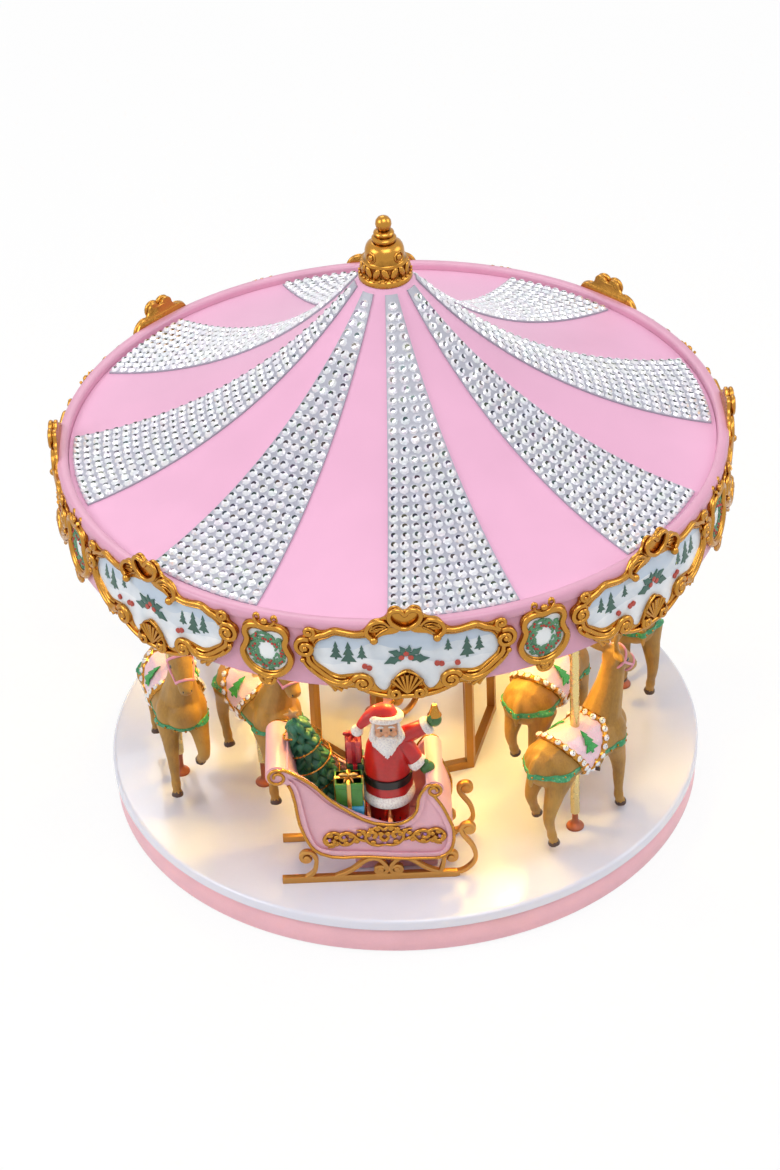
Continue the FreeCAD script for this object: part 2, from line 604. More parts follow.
def gear_outline(teeth, tooth_turn):
    """Points of a toothed outline with involute flanks; a tooth stands at the given turn."""
    pitch = GEAR_MODULE * teeth / 2
    base = pitch * math.cos(math.radians(PRESSURE_ANGLE))
    tip = pitch + GEAR_MODULE
    root = pitch - 1.25 * GEAR_MODULE

    def half_turn(radius):
        """Half a tooth's angle at a radius."""
        flank = math.acos(min(1.0, base / radius))
        pitch_flank = math.radians(PRESSURE_ANGLE)
        involute = math.tan(pitch_flank) - pitch_flank - (math.tan(flank) - flank)
        return math.pi / (2 * teeth) - GEAR_BACKLASH / (2 * pitch) + involute

    radii = [root, max(base, root + 0.1), pitch, tip]
    outline = []
    for tooth in range(teeth):
        middle = tooth_turn + 2 * math.pi * tooth / teeth
        flank = [(radius, half_turn(max(radius, base))) for radius in radii]
        outline += [(radius, middle - half) for radius, half in flank]
        outline += [(radius, middle + half) for radius, half in reversed(flank)]
    return [Vector(radius * math.cos(turn), radius * math.sin(turn), 0) for radius, turn in outline]


def gear_blank(teeth, tooth_turn, thickness):
    """A toothed disc with its lower face at zero."""
    outline = gear_outline(teeth, tooth_turn)
    face = Part.Face(Part.makePolygon(outline + outline[:1]))
    return face.extrude(Vector(0, 0, thickness))


def drive_gear():
    """Ring gear under the deck, with a tooth gap facing the pinion."""
    gap_turn = math.pi / 2 + math.pi / RING_TEETH
    blank = gear_blank(RING_TEETH, gap_turn, RING_THICKNESS)
    bore = GEAR_MODULE * RING_TEETH / 2 - 1.25 * GEAR_MODULE - RING_RIM
    toothed = blank.cut(disc(bore, -1, RING_THICKNESS + 1))
    return moved(toothed, 0, 0, DECK_UNDER - RING_THICKNESS)


def drive_pinion():
    """Pinion with its shaft down into the gear motor, one tooth facing the ring gear."""
    top = DECK_UNDER - PINION_HEADROOM
    blank = gear_blank(PINION_TEETH, -math.pi / 2, PINION_THICKNESS)
    blank = moved(blank, 0, GEAR_CENTRES, top - PINION_THICKNESS)
    shaft_bottom = COVER_TOP + COVER_THICKNESS + RUNNING_GAP
    shaft = Part.makeCylinder(PINION_SHAFT_RADIUS, top - shaft_bottom - 1,
                              Vector(0, GEAR_CENTRES, shaft_bottom))
    return fused([blank, shaft])


def deck():
    """White deck: plate with a rounded edge, a rim and a hub on the post."""
    edge = DECK_EDGE_ROUND
    slope = edge * (1 - math.sqrt(0.5))
    rim_inner = DECK_RADIUS - DECK_RIM_WALL
    bore = POST_RADIUS + SHAFT_CLEARANCE
    profile = chain([(bore, DECK_TOP), (DECK_RADIUS - edge, DECK_TOP)])
    profile.append(arc((DECK_RADIUS - edge, DECK_TOP), (DECK_RADIUS - slope, DECK_TOP - slope),
                       (DECK_RADIUS, DECK_TOP - edge)))
    profile += chain([(DECK_RADIUS, DECK_TOP - edge), (DECK_RADIUS, DECK_BOTTOM), (rim_inner, DECK_BOTTOM),
                      (rim_inner, DECK_UNDER), (DECK_HUB_RADIUS, DECK_UNDER), (DECK_HUB_RADIUS, HUB_BOTTOM),
                      (bore, HUB_BOTTOM), (bore, DECK_TOP)])
    return revolved(profile)


def hexagon(radius, bottom, top):
    """The column's prism of a given corner radius."""
    points = []
    for corner in range(COLUMN_SIDES + 1):
        turn = math.radians(COLUMN_CORNER + 360.0 * corner / COLUMN_SIDES)
        points.append(Vector(radius * math.sin(turn), -radius * math.cos(turn), bottom))
    return Part.Face(Part.makePolygon(points)).extrude(Vector(0, 0, top - bottom))


def column_face_azimuths():
    """Azimuths that the column's sides face."""
    return [COLUMN_CORNER + (index + 0.5) * 360.0 / COLUMN_SIDES for index in range(COLUMN_SIDES)]


def column_frame():
    """Six posts and two rails: a thin six-sided tube with a window in each side."""
    corner = math.cos(math.pi / COLUMN_SIDES)
    tube = hexagon(COLUMN_RADIUS, DECK_TOP, SOFFIT_BOTTOM)
    tube = tube.cut(hexagon(COLUMN_RADIUS - COLUMN_WALL / corner, DECK_TOP - 1, SOFFIT_BOTTOM + 1))
    half = COLUMN_RADIUS * math.sin(math.pi / COLUMN_SIDES) - COLUMN_POST_WIDTH
    window = block((-half, half), (-2 * COLUMN_RADIUS, -COLUMN_RADIUS / 2),
                   (DECK_TOP + COLUMN_RAIL, SOFFIT_BOTTOM - COLUMN_RAIL))
    for azimuth in column_face_azimuths():
        tube = tube.cut(turned(window, azimuth))
    return tube


def mirror_panels():
    """Mirrors against the inner face of the column's frame."""
    face = COLUMN_RADIUS * math.cos(math.pi / COLUMN_SIDES) - COLUMN_WALL
    half = (face - MIRROR_THICKNESS) * math.tan(math.pi / COLUMN_SIDES) - SEAT_CLEARANCE
    panel = block((-half, half), (-face, MIRROR_THICKNESS - face), (DECK_TOP, SOFFIT_BOTTOM))
    return group([turned(panel, azimuth) for azimuth in column_face_azimuths()])


def pair_azimuths():
    """Azimuth of each pair's outer pole."""
    return [FIRST_PAIR + PAIR_STEP * index for index in range(PAIRS)]


def pair_lift(index):
    """Height of a pair's outer deer over its middle level, as the cam holds it at rest."""
    phase = math.radians(FIRST_PHASE + CAM_LOBES * PAIR_STEP * index)
    return HALF_STROKE * math.cos(phase)


def pole_places():
    """Circle radius and azimuth of every pole."""
    places = []
    for azimuth in pair_azimuths():
        places.append((OUTER_CIRCLE, azimuth))
        places.append((INNER_CIRCLE, azimuth + INNER_LEAD))
    return places


def at_pole(shape, circle, azimuth):
    """A copy of a shape made about a pole's axis, set on its circle."""
    return turned(moved(shape, 0, -circle, 0), azimuth)


def soffit():
    """Canopy underside with pole holes and two bearing blocks for each rocker."""
    plate = ring(SOFFIT_HOLE_RADIUS, COVER_RADIUS, SOFFIT_BOTTOM, SOFFIT_TOP)
    hole = Part.makeCylinder(BUSH_RADIUS, 2 * SOFFIT_THICKNESS, Vector(0, 0, SOFFIT_BOTTOM - 1))
    plate = plate.cut(group([at_pole(hole, circle, azimuth) for circle, azimuth in pole_places()]))
    top = ROCKER_AXIS + ROCKER_SHAFT_RADIUS + BEARING_WALL
    half = BEARING_WIDTH / 2
    bearing = block((-half, half), (-BEARING_THICKNESS / 2, BEARING_THICKNESS / 2),
                    (SOFFIT_TOP - 1, ROCKER_AXIS))
    crown = Part.makeCylinder(half, BEARING_THICKNESS, Vector(0, -BEARING_THICKNESS / 2, ROCKER_AXIS),
                              Vector(0, 1, 0))
    bearing = fused([bearing, crown]).common(block((-half, half), (-half, half), (SOFFIT_TOP - 1, top)))
    bore = Part.makeCylinder(ROCKER_SHAFT_RADIUS + SHAFT_CLEARANCE, 2 * BEARING_THICKNESS,
                             Vector(0, -BEARING_THICKNESS, ROCKER_AXIS), Vector(0, 1, 0))
    bearing = bearing.cut(bore)
    turn = math.degrees(ROCKER_TURN)
    bearings = []
    for azimuth in pair_azimuths():
        for station in BEARING_STATIONS:
            bearings.append(turned(moved(bearing, 0, -station, 0), azimuth + turn))
    return fused([plate] + bearings)


def canopy_rim():
    """Drum with a rounded lip, a ledge over the soffit and a ledge under the cover."""
    ledge = DRUM_BORE - DRUM_LEDGE
    lip = DRUM_LIP_ROUND
    slope = lip * (1 - math.sqrt(0.5))
    profile = chain([(DRUM_BORE, SOFFIT_BOTTOM), (DRUM_RADIUS, SOFFIT_BOTTOM), (DRUM_RADIUS, DRUM_TOP - lip)])
    profile.append(arc((DRUM_RADIUS, DRUM_TOP - lip), (DRUM_RADIUS - slope, DRUM_TOP - slope),
                       (DRUM_RADIUS - lip, DRUM_TOP)))
    upper = COVER_SEAT - DRUM_LEDGE_THICKNESS
    lower = SOFFIT_TOP + DRUM_LEDGE_THICKNESS
    profile += chain([(DRUM_RADIUS - lip, DRUM_TOP), (DRUM_BORE, DRUM_TOP), (DRUM_BORE, COVER_SEAT),
                      (ledge, COVER_SEAT), (ledge, upper), (DRUM_BORE, upper), (DRUM_BORE, lower),
                      (ledge, lower), (ledge, SOFFIT_TOP), (DRUM_BORE, SOFFIT_TOP),
                      (DRUM_BORE, SOFFIT_BOTTOM)])
    return revolved(profile)


class CanopyCurve:
    """The canopy's sagging profile: an arc whose centre lies above the rim."""

    def __init__(self):
        run = COVER_RADIUS - FINIAL_SEAT_RADIUS
        half_chord = math.hypot(run, CANOPY_RISE) / 2
        self.radius = (half_chord ** 2 + CANOPY_SAG ** 2) / (2 * CANOPY_SAG)
        reach = (self.radius - CANOPY_SAG) / (2 * half_chord)
        self.centre_r = (COVER_RADIUS + FINIAL_SEAT_RADIUS) / 2 + reach * CANOPY_RISE
        self.centre_z = COVER_EDGE_TOP + CANOPY_RISE / 2 + reach * run

    def point(self, r, outward):
        """The point over a radius, on the curve moved outwards."""
        radius = self.radius - outward
        return r, self.centre_z - math.sqrt(radius ** 2 - (r - self.centre_r) ** 2)

    def stretch(self, first, last, outward):
        """The arc between two radii, on the curve moved outwards."""
        middle = (first + last) / 2
        return arc(self.point(first, outward), self.point(middle, outward), self.point(last, outward))


def canopy_cover():
    """Bell-shaped cover with a flat edge on the drum's ledge and a seat for the finial."""
    curve = CanopyCurve()
    foot = COVER_RADIUS - COVER_EDGE
    inner_foot = curve.point(foot, -COVER_WALL)
    inner_top = curve.point(FINIAL_SEAT_RADIUS, -COVER_WALL)
    stud = FINIAL_STUD_RADIUS + SEAT_CLEARANCE
    profile = [curve.stretch(COVER_RADIUS, FINIAL_SEAT_RADIUS, 0)]
    profile += chain([(FINIAL_SEAT_RADIUS, FINIAL_SEAT), (stud, FINIAL_SEAT), (stud, inner_top[1]),
                      inner_top])
    profile.append(curve.stretch(FINIAL_SEAT_RADIUS, foot, -COVER_WALL))
    profile += chain([inner_foot, (foot, COVER_SEAT), (COVER_RADIUS, COVER_SEAT),
                      (COVER_RADIUS, COVER_EDGE_TOP)])
    return revolved(profile)


def crystal_stripes():
    """Raised sheets of set stones, every other sector of the canopy."""
    curve = CanopyCurve()
    outer, inner = STRIPE_OUTER_RADIUS, STRIPE_INNER_RADIUS
    profile = [curve.stretch(outer, inner, SEAT_CLEARANCE), curve.stretch(inner, outer, STRIPE_HEIGHT)]
    profile += chain([curve.point(inner, SEAT_CLEARANCE), curve.point(inner, STRIPE_HEIGHT)])
    profile += chain([curve.point(outer, STRIPE_HEIGHT), curve.point(outer, SEAT_CLEARANCE)])
    stripe = revolved(profile, STRIPE_ARC)
    step = 360.0 / STRIPE_COUNT
    return group([turned(stripe, STRIPE_START - 90 + step * index) for index in range(STRIPE_COUNT)])


def finial():
    """Turned finial: flared base, leaf band, bossed bell, two rings and a ball, with a stud below."""
    z = FINIAL_SEAT
    bell_bottom = (FINIAL_BELL_RADIUS, z + FINIAL_BAND_TOP)
    bell_top = (FINIAL_RINGS[0][0] + 0.3, z + FINIAL_BELL_TOP)
    bell_middle = (FINIAL_BELL_RADIUS - 0.7, z + FINIAL_BAND_TOP + 4.6)
    stud_end = z - FINIAL_STUD_LENGTH
    profile = chain([(0, stud_end), (FINIAL_STUD_RADIUS, stud_end), (FINIAL_STUD_RADIUS, z),
                     (FINIAL_BASE_RADIUS - 0.5, z)])
    profile.append(arc((FINIAL_BASE_RADIUS - 0.5, z), (FINIAL_BASE_RADIUS, z + FINIAL_BASE_HEIGHT * 0.4),
                       (FINIAL_BASE_RADIUS - 0.7, z + FINIAL_BASE_HEIGHT)))
    profile += chain([(FINIAL_BASE_RADIUS - 0.7, z + FINIAL_BASE_HEIGHT),
                      (FINIAL_BAND_RADIUS, z + FINIAL_BASE_HEIGHT)])
    profile.append(arc((FINIAL_BAND_RADIUS, z + FINIAL_BASE_HEIGHT),
                       (FINIAL_BAND_RADIUS, z + (FINIAL_BASE_HEIGHT + FINIAL_BAND_TOP) / 2), bell_bottom))
    profile.append(arc(bell_bottom, bell_middle, bell_top))
    end = bell_top
    for radius, height, half in FINIAL_RINGS:
        start = (radius - 0.8, z + height - half)
        stop = (radius - 0.9, z + height + half)
        profile += chain([end, start])
        profile.append(arc(start, (radius, z + height), stop))
        end = stop
    neck = FINIAL_BALL_RADIUS * 0.6
    neck_height = z + FINIAL_BALL_HEIGHT - FINIAL_BALL_RADIUS * 0.8
    top = z + FINIAL_BALL_HEIGHT + FINIAL_BALL_RADIUS
    profile += chain([end, (neck, neck_height)])
    profile.append(arc((neck, neck_height), (FINIAL_BALL_RADIUS, z + FINIAL_BALL_HEIGHT), (0, top)))
    profile += chain([(0, top), (0, stud_end)])
    shapes = [revolved(profile)]
    for index in range(FINIAL_BOSSES):
        boss = Part.makeSphere(FINIAL_BOSS_RADIUS, Vector(0, -bell_middle[0], bell_middle[1]))
        shapes.append(turned(boss, 45 + index * 360.0 / FINIAL_BOSSES))
    return fused(shapes)


def radial_prism(outline, middle):
    """A prism towards the front with a smooth outline about a middle height."""
    wire = upright_curve([(x, z + middle) for x, z in outline], -2 * DRUM_RADIUS)
    return Part.Face(wire).extrude(Vector(0, 1.5 * DRUM_RADIUS, 0))


def drum_layer(depth):
    """A ring on the drum's face, as thick as a frame's depth."""
    return ring(DRUM_RADIUS + SEAT_CLEARANCE, DRUM_RADIUS + depth, SOFFIT_BOTTOM - DRUM_HEIGHT,
                DRUM_TOP + DRUM_HEIGHT)


def frame(outline, opening, bosses, middle):
    """A frame curved with the drum: a smooth band about its opening, with raised scroll bosses."""
    band = radial_prism(mirrored(outline), middle).common(drum_layer(FRAME_DEPTH))
    pieces = [band]
    for x, z, radius in bosses:
        for side in ((1, -1) if x else (1,)):
            boss = rod(radius, (side * x, -2 * DRUM_RADIUS, z + middle),
                       (side * x, -DRUM_RADIUS / 2, z + middle))
            pieces.append(boss.common(drum_layer(CREST_DEPTH)))
    return fused(pieces).cut(radial_prism(mirrored(opening), middle))


def picture(opening, middle):
    """The panel inside a frame's opening, curved with the drum."""
    outline = [(x * PICTURE_FIT, z * PICTURE_FIT) for x, z in mirrored(opening)]
    return radial_prism(outline, middle).common(drum_layer(PICTURE_DEPTH))


def round_drum(shape, count, start):
    """Copies of a frame or panel, evenly round the drum."""
    return [turned(shape, start + index * 360.0 / count) for index in range(count)]


def large_frames():
    """Wide frames with a crest that stands over the drum's lip."""
    one = frame(LARGE_OUTLINE, LARGE_OPENING, LARGE_BOSSES, LARGE_FRAME_MIDDLE)
    return group(round_drum(one, LARGE_FRAMES, LARGE_FRAME_START))


def small_frames():
    """Shield frames between the wide ones."""
    one = frame(SMALL_OUTLINE, SMALL_OPENING, SMALL_BOSSES, SMALL_FRAME_MIDDLE)
    return group(round_drum(one, SMALL_FRAMES, SMALL_FRAME_START))


def picture_panels():
    """Panels in the openings of both kinds of frame."""
    large = picture(LARGE_OPENING, LARGE_FRAME_MIDDLE)
    small = picture(SMALL_OPENING, SMALL_FRAME_MIDDLE)
    panels = round_drum(large, LARGE_FRAMES, LARGE_FRAME_START)
    return group(panels + round_drum(small, SMALL_FRAMES, SMALL_FRAME_START))


def lamps():
    """Small domed lamps under the soffit, one facing each side of the column."""
    dome = Part.makeSphere(LAMP_RADIUS, Vector(0, -LAMP_CIRCLE, SOFFIT_BOTTOM), UP, -90, 0, 360)
    collar_height = LAMP_RADIUS * 0.4
    collar = Part.makeCylinder(LAMP_RADIUS * 1.3, collar_height,
                               Vector(0, -LAMP_CIRCLE, SOFFIT_BOTTOM - collar_height))
    lamp = fused([dome, collar])
    first = COLUMN_CORNER + 180.0 / COLUMN_SIDES
    return group([turned(lamp, first + index * 360.0 / LAMP_COUNT) for index in range(LAMP_COUNT)])


def guide_pins():
    """Pins with round feet on the deck, inside the poles."""
    foot = Part.makeCone(PIN_FOOT_RADIUS, PIN_FOOT_RADIUS * 0.75, PIN_FOOT_HEIGHT, Vector(0, 0, DECK_TOP))
    pin = Part.makeCylinder(PIN_RADIUS, PIN_LENGTH, Vector(0, 0, DECK_TOP))
    whole = fused([foot, pin])
    return group([at_pole(whole, circle, azimuth) for circle, azimuth in pole_places()])


def pole_bushes():
    """Flanged bushes in the soffit."""
    bottom = SOFFIT_BOTTOM - BUSH_STAND_DOWN
    sleeve = Part.makeCylinder(BUSH_RADIUS - SEAT_CLEARANCE, SOFFIT_TOP - bottom, Vector(0, 0, bottom))
    flange = Part.makeCylinder(BUSH_FLANGE_RADIUS, BUSH_FLANGE, Vector(0, 0, SOFFIT_TOP))
    bore = Part.makeCylinder(POLE_RADIUS + SHAFT_CLEARANCE, DRUM_HEIGHT, Vector(0, 0, bottom - 1))
    bush = fused([sleeve, flange]).cut(bore)
    return group([at_pole(bush, circle, azimuth) for circle, azimuth in pole_places()])


def pole(lift, rocker_bearing):
    """A pole tube about its own axis, with the cross pin that its rocker's arm lifts."""
    foot = DECK_TOP + POLE_FOOT_HEIGHT + lift
    pin_height = ROCKER_AXIS + lift
    top = pin_height + 2 * POLE_RADIUS
    tube = Part.makeCylinder(POLE_RADIUS, top - foot, Vector(0, 0, foot))
    bore_top = DECK_TOP + PIN_LENGTH + 2 * HALF_STROKE + 2 * RUNNING_GAP
    bore = Part.makeCylinder(PIN_RADIUS + SHAFT_CLEARANCE, bore_top - foot, Vector(0, 0, foot))
    inward = math.radians(rocker_bearing)
    tip = (-CROSS_PIN_LENGTH * math.sin(inward), CROSS_PIN_LENGTH * math.cos(inward), pin_height)
    cross_pin = rod(CROSS_PIN_RADIUS, (0, 0, pin_height), tip)
    return fused([tube, cross_pin]).cut(bore)


def arm(station, side, lift):
    """A slotted rocker arm, level, on the inward side of its pole; side is the heading's sign."""
    inner = -station + ARM_OFFSET
    reach = math.hypot(ARM_LENGTH, HALF_STROKE) + CROSS_PIN_RADIUS + SLOT_CLEARANCE
    end = reach + CROSS_PIN_RADIUS * 2
    plate = block((0, end), (inner, inner + ARM_THICKNESS),
                  (ROCKER_AXIS - ARM_HALF_HEIGHT, ROCKER_AXIS + ARM_HALF_HEIGHT))
    slot_half = CROSS_PIN_RADIUS + SLOT_CLEARANCE
    slot_start = ARM_LENGTH - slot_half - SLOT_CLEARANCE
    slot = block((slot_start, reach), (inner - 1, inner + 2 * ARM_THICKNESS),
                 (ROCKER_AXIS - slot_half, ROCKER_AXIS + slot_half))
    plate = plate.cut(slot)
    if side < 0:
        plate = plate.mirror(Vector(0, 0, 0), Vector(1, 0, 0))
    return plate


def rocker(index):
    """Radial shaft with an arm to each pole of the pair and a follower beside the cam, at its rest angle."""
    lift = pair_lift(index)
    shaft = rod(ROCKER_SHAFT_RADIUS, (0, -ROCKER_INNER_END, ROCKER_AXIS), (0, -ROCKER_OUTER_END, ROCKER_AXIS))
    outer_arm = arm(OUTER_STATION, -1, lift)
    inner_arm = arm(INNER_STATION, 1, lift)
    end = ARM_LENGTH + 2 * CROSS_PIN_RADIUS
    follower_arm = block((-end, ROCKER_SHAFT_RADIUS), (-ROCKER_INNER_END - ARM_THICKNESS, -ROCKER_INNER_END),
                         (ROCKER_AXIS - ARM_HALF_HEIGHT, ROCKER_AXIS + ARM_HALF_HEIGHT))
    follower = rod(CROSS_PIN_RADIUS, (-ARM_LENGTH, -ROCKER_INNER_END - 1, ROCKER_AXIS),
                   (-ARM_LENGTH, -FOLLOWER_STATION, ROCKER_AXIS))
    hubs = []
    for station in (OUTER_STATION, INNER_STATION):
        inner = -station + ARM_OFFSET
        hubs.append(rod(ROCKER_SHAFT_RADIUS * 1.6, (0, inner, ROCKER_AXIS),
                        (0, inner + ARM_THICKNESS, ROCKER_AXIS)))
    whole = fused([shaft, outer_arm, inner_arm, follower_arm, follower] + hubs)
    angle = math.degrees(math.atan2(lift, ARM_LENGTH))
    whole.rotate(Vector(0, 0, ROCKER_AXIS), Vector(0, 1, 0), angle)
    return turned(whole, FIRST_PAIR + PAIR_STEP * index + math.degrees(ROCKER_TURN))


def cam_wave(radius, offset):
    """A closed wave round the cam at a radius, moved up by an offset."""
    first = math.radians(FIRST_PAIR) + ROCKER_TURN - math.atan2(ARM_LENGTH, FOLLOWER_STATION)
    points = []
    steps = CAM_LOBES * 12
    for step in range(steps):
        azimuth = 2 * math.pi * step / steps
        phase = math.radians(FIRST_PHASE) + CAM_LOBES * (azimuth - first)
        height = ROCKER_AXIS + HALF_STROKE * math.cos(phase) + offset
        points.append(Vector(radius * math.sin(azimuth), -radius * math.cos(azimuth), height))
    curve = Part.BSplineCurve()
    curve.interpolate(points, PeriodicFlag=True)
    return curve.toShape()


def barrel_cam():
    """Fixed cup on the post with a wavy groove round its wall."""
    bottom = ROCKER_AXIS - CAM_HEIGHT / 2
    top = ROCKER_AXIS + CAM_HEIGHT / 2
    wall = ring(CAM_RADIUS - CAM_WALL, CAM_RADIUS, bottom, top)
    web = disc(CAM_RADIUS - 1, top - CAM_WEB, top)
    hub = disc(POST_RADIUS * 2, top - 2 * CAM_WEB, top)
    cup = fused([wall, web, hub]).cut(disc(POST_RADIUS + SEAT_CLEARANCE, bottom - 1, top + 1))
    half = CROSS_PIN_RADIUS + SLOT_CLEARANCE
    inner = CAM_RADIUS - GROOVE_DEPTH
    outer = CAM_RADIUS + GROOVE_DEPTH
    low_in, low_out = cam_wave(inner, -half), cam_wave(outer, -half)
    high_in, high_out = cam_wave(inner, half), cam_wave(outer, half)
    walls = [Part.makeRuledSurface(low_in, low_out), Part.makeRuledSurface(high_in, high_out),
             Part.makeRuledSurface(low_in, high_in), Part.makeRuledSurface(low_out, high_out)]
    cutter = Part.makeSolid(Part.makeShell(walls))
    if cutter.Volume < 0:
        cutter.reverse()
    return cup.cut(cutter)


def deer_body():
    """A harnessed deer and its blanket about the pole, heading along +X, heights over the pole's foot."""
    barrel = oval_loft(BARREL, 0)
    neck = oval_loft(NECK, 68)
    head = oval_loft(HEAD, -36)
    shapes = [barrel, neck, head]
    for leg in LEGS:
        shapes.append(round_loft(leg))
    shapes.append(round_loft([(x, 0, z, radius) for x, z, radius in TAIL]))
    for side in (1, -1):
        for stations in (EAR, ANTLER_BEAM, ANTLER_TINE):
            shapes.append(round_loft([(x, side * y, z, radius) for x, y, z, radius in stations]))
    body = shapes[0]
    for shape in shapes[1:]:
        body = body.fuse(shape)
    swell = BLANKET_THICKNESS
    padded = oval_loft([(x, z, width + swell, depth + swell) for x, z, width, depth in BARREL[1:-1]], 0)
    top = BARREL[3][1] + 2 * BARREL[3][3]
    outline = BLANKET_OUTLINE + [(BLANKET_OUTLINE[-1][0], top), (BLANKET_OUTLINE[0][0], top)]
    wire = Part.makePolygon([Vector(x, -20, z) for x, z in outline + outline[:1]])
    blanket = padded.common(Part.Face(wire).extrude(Vector(0, 40, 0)))
    body = body.fuse(blanket)
    hole = Part.makeCylinder(POLE_RADIUS + SEAT_CLEARANCE, 200, Vector(0, 0, -50))
    return body.cut(hole)


def placed_deer(body, circle, azimuth, lift):
    """A copy of the deer on its pole."""
    return at_pole(moved(body, 0, 0, DECK_TOP + POLE_FOOT_HEIGHT + lift), circle, azimuth)


def sleigh_prism(outline, near, far):
    """A prism across the sleigh with a smooth outline."""
    wire = upright_curve([(x, z + DECK_TOP) for x, z in outline], near)
    return Part.Face(wire).extrude(Vector(0, far - near, 0))


def sleigh_body():
    """Open sleigh: two side panels, a floor that sweeps up into rolled ends, and its pedestal."""
    near, far = SLEIGH_NEAR, SLEIGH_NEAR + SLEIGH_WIDTH
    shapes = [sleigh_prism(SLEIGH_OUTLINE, near, far)]
    for x, z, radius in (SLEIGH_BACK_ROLL, SLEIGH_FRONT_ROLL):
        shapes.append(rod(radius, (x, near, z + DECK_TOP), (x, far, z + DECK_TOP)))
    half = PEDESTAL_WIDTH / 2
    middle = (near + far) / 2
    shapes.append(block(PEDESTAL, (middle - half, middle + half), (DECK_TOP, DECK_TOP + PEDESTAL_TOP)))
    hollow_points = [Vector(x, near + SLEIGH_WALL, z + DECK_TOP) for x, z in SLEIGH_CAVITY]
    hollow = Part.Face(Part.makePolygon(hollow_points + hollow_points[:1]))
    hollow = hollow.extrude(Vector(0, SLEIGH_WIDTH - 2 * SLEIGH_WALL, 0))
    return fused(shapes).cut(hollow)


def sleigh_trim():
    """Gold piping round each side panel and an ornament of scroll lobes in its middle."""
    pieces = []
    for face, outward in ((SLEIGH_NEAR, -1), (SLEIGH_NEAR + SLEIGH_WIDTH, 1)):
        wire = upright_curve([(x, z + DECK_TOP) for x, z in SLEIGH_OUTLINE], face + outward * SEAT_CLEARANCE)
        inner = wire.makeOffset2D(-TRIM_WIDTH)
        if Part.Face(inner).Area > Part.Face(wire).Area:
            inner = wire.makeOffset2D(TRIM_WIDTH)
        band = Part.Face(wire).cut(Part.Face(inner))
        pieces.append(band.extrude(Vector(0, outward * TRIM_HEIGHT, 0)))
        lobes = []
        for index in range(ORNAMENT_LOBES):
            share = 2.0 * index / (ORNAMENT_LOBES - 1) - 1
            x = ORNAMENT_MIDDLE[0] + share * ORNAMENT_LENGTH / 2
            z = ORNAMENT_MIDDLE[1] + DECK_TOP + 0.9 * (-1) ** index
            radius = 3.9 - 0.9 * abs(share)
            start = face + outward * SEAT_CLEARANCE
            lobes.append(rod(radius, (x, start, z), (x, start + outward * TRIM_HEIGHT * 1.4, z)))
        pieces.append(fused(lobes))
    return group(pieces)


def spiral(centre, radius, start_turn, turns, inner):
    """Points of a scroll that winds in to an inner radius."""
    steps = max(4, int(abs(turns) * 8))
    points = []
    for step in range(steps + 1):
        share = step / steps
        turn = math.radians(start_turn) + 2 * math.pi * turns * share
        reach = radius + (inner - radius) * share
        points.append((centre[0] + reach * math.cos(turn), centre[1] + reach * math.sin(turn)))
    return points


def scroll_band(path, y, thickness):
    """A flat band of even width along a smooth path of length and height."""
    curve = Part.BSplineCurve()
    curve.interpolate([Vector(x, y, z + DECK_TOP) for x, z in path])
    count = 2 * len(path)
    left, right = [], []
    for step in range(count + 1):
        value = curve.FirstParameter + (curve.LastParameter - curve.FirstParameter) * step / count
        point = curve.value(value)
        along = curve.tangent(value)[0]
        across = Vector(-along.z, 0, along.x) * (SCROLL_WIDTH / 2)
        left.append(point + across)
        right.append(point - across)
    edges = []
    for side in (left, list(reversed(right))):
        edge_curve = Part.BSplineCurve()
        edge_curve.interpolate(side)
        edges.append(edge_curve.toShape())
    edges.append(Part.LineSegment(left[-1], right[-1]).toShape())
    edges.append(Part.LineSegment(right[0], left[0]).toShape())
    face = Part.Face(Part.Wire(Part.__sortEdges__(edges)))
    band = face.extrude(Vector(0, thickness, 0))
    band.translate(Vector(0, -thickness / 2, 0))
    return band


def runner(y):
    """One runner: a straight bar, a tall front curl, a rear scroll and scrolled braces."""
    half = RUNNER_THICKNESS / 2
    bar_middle = RUNNER_BAR_HEIGHT / 2
    bar = block(RUNNER_BAR, (y - half, y + half), (DECK_TOP, DECK_TOP + RUNNER_BAR_HEIGHT))
    front = [(17.0, bar_middle), (23.5, 3.4), (28.2, 9.0), (27.4, 16.0), (23.8, 22.0)]
    front += spiral((25.6, 26.2), 3.4, 210, -0.9, 1.5)
    rear = [(-46.4, bar_middle), (-42.6, 4.6), (-41.8, 9.2)]
    rear += spiral((-45.8, 11.8), 3.4, 10, 0.9, 1.5)
    left = [(-36.0, bar_middle), (-29.0, 4.4), (-22.0, 9.0), (-16.0, 8.6)]
    left += spiral((-14.6, 5.6), 2.5, 30, -0.6, 1.6)
    right = [(11.0, bar_middle), (4.0, 4.0), (-1.6, 7.2), (-6.0, 7.4)]
    right += spiral((-7.4, 5.6), 2.5, 150, 0.6, 1.6)
    pieces = [bar] + [scroll_band(path, y, RUNNER_THICKNESS) for path in (front, rear, left, right)]
    return fused(pieces)


def sleigh_runners():
    """Both runners, standing on the deck."""
    middle = SLEIGH_NEAR + SLEIGH_WIDTH / 2
    return group([runner(middle + side * RUNNER_SPACING / 2) for side in (-1, 1)])


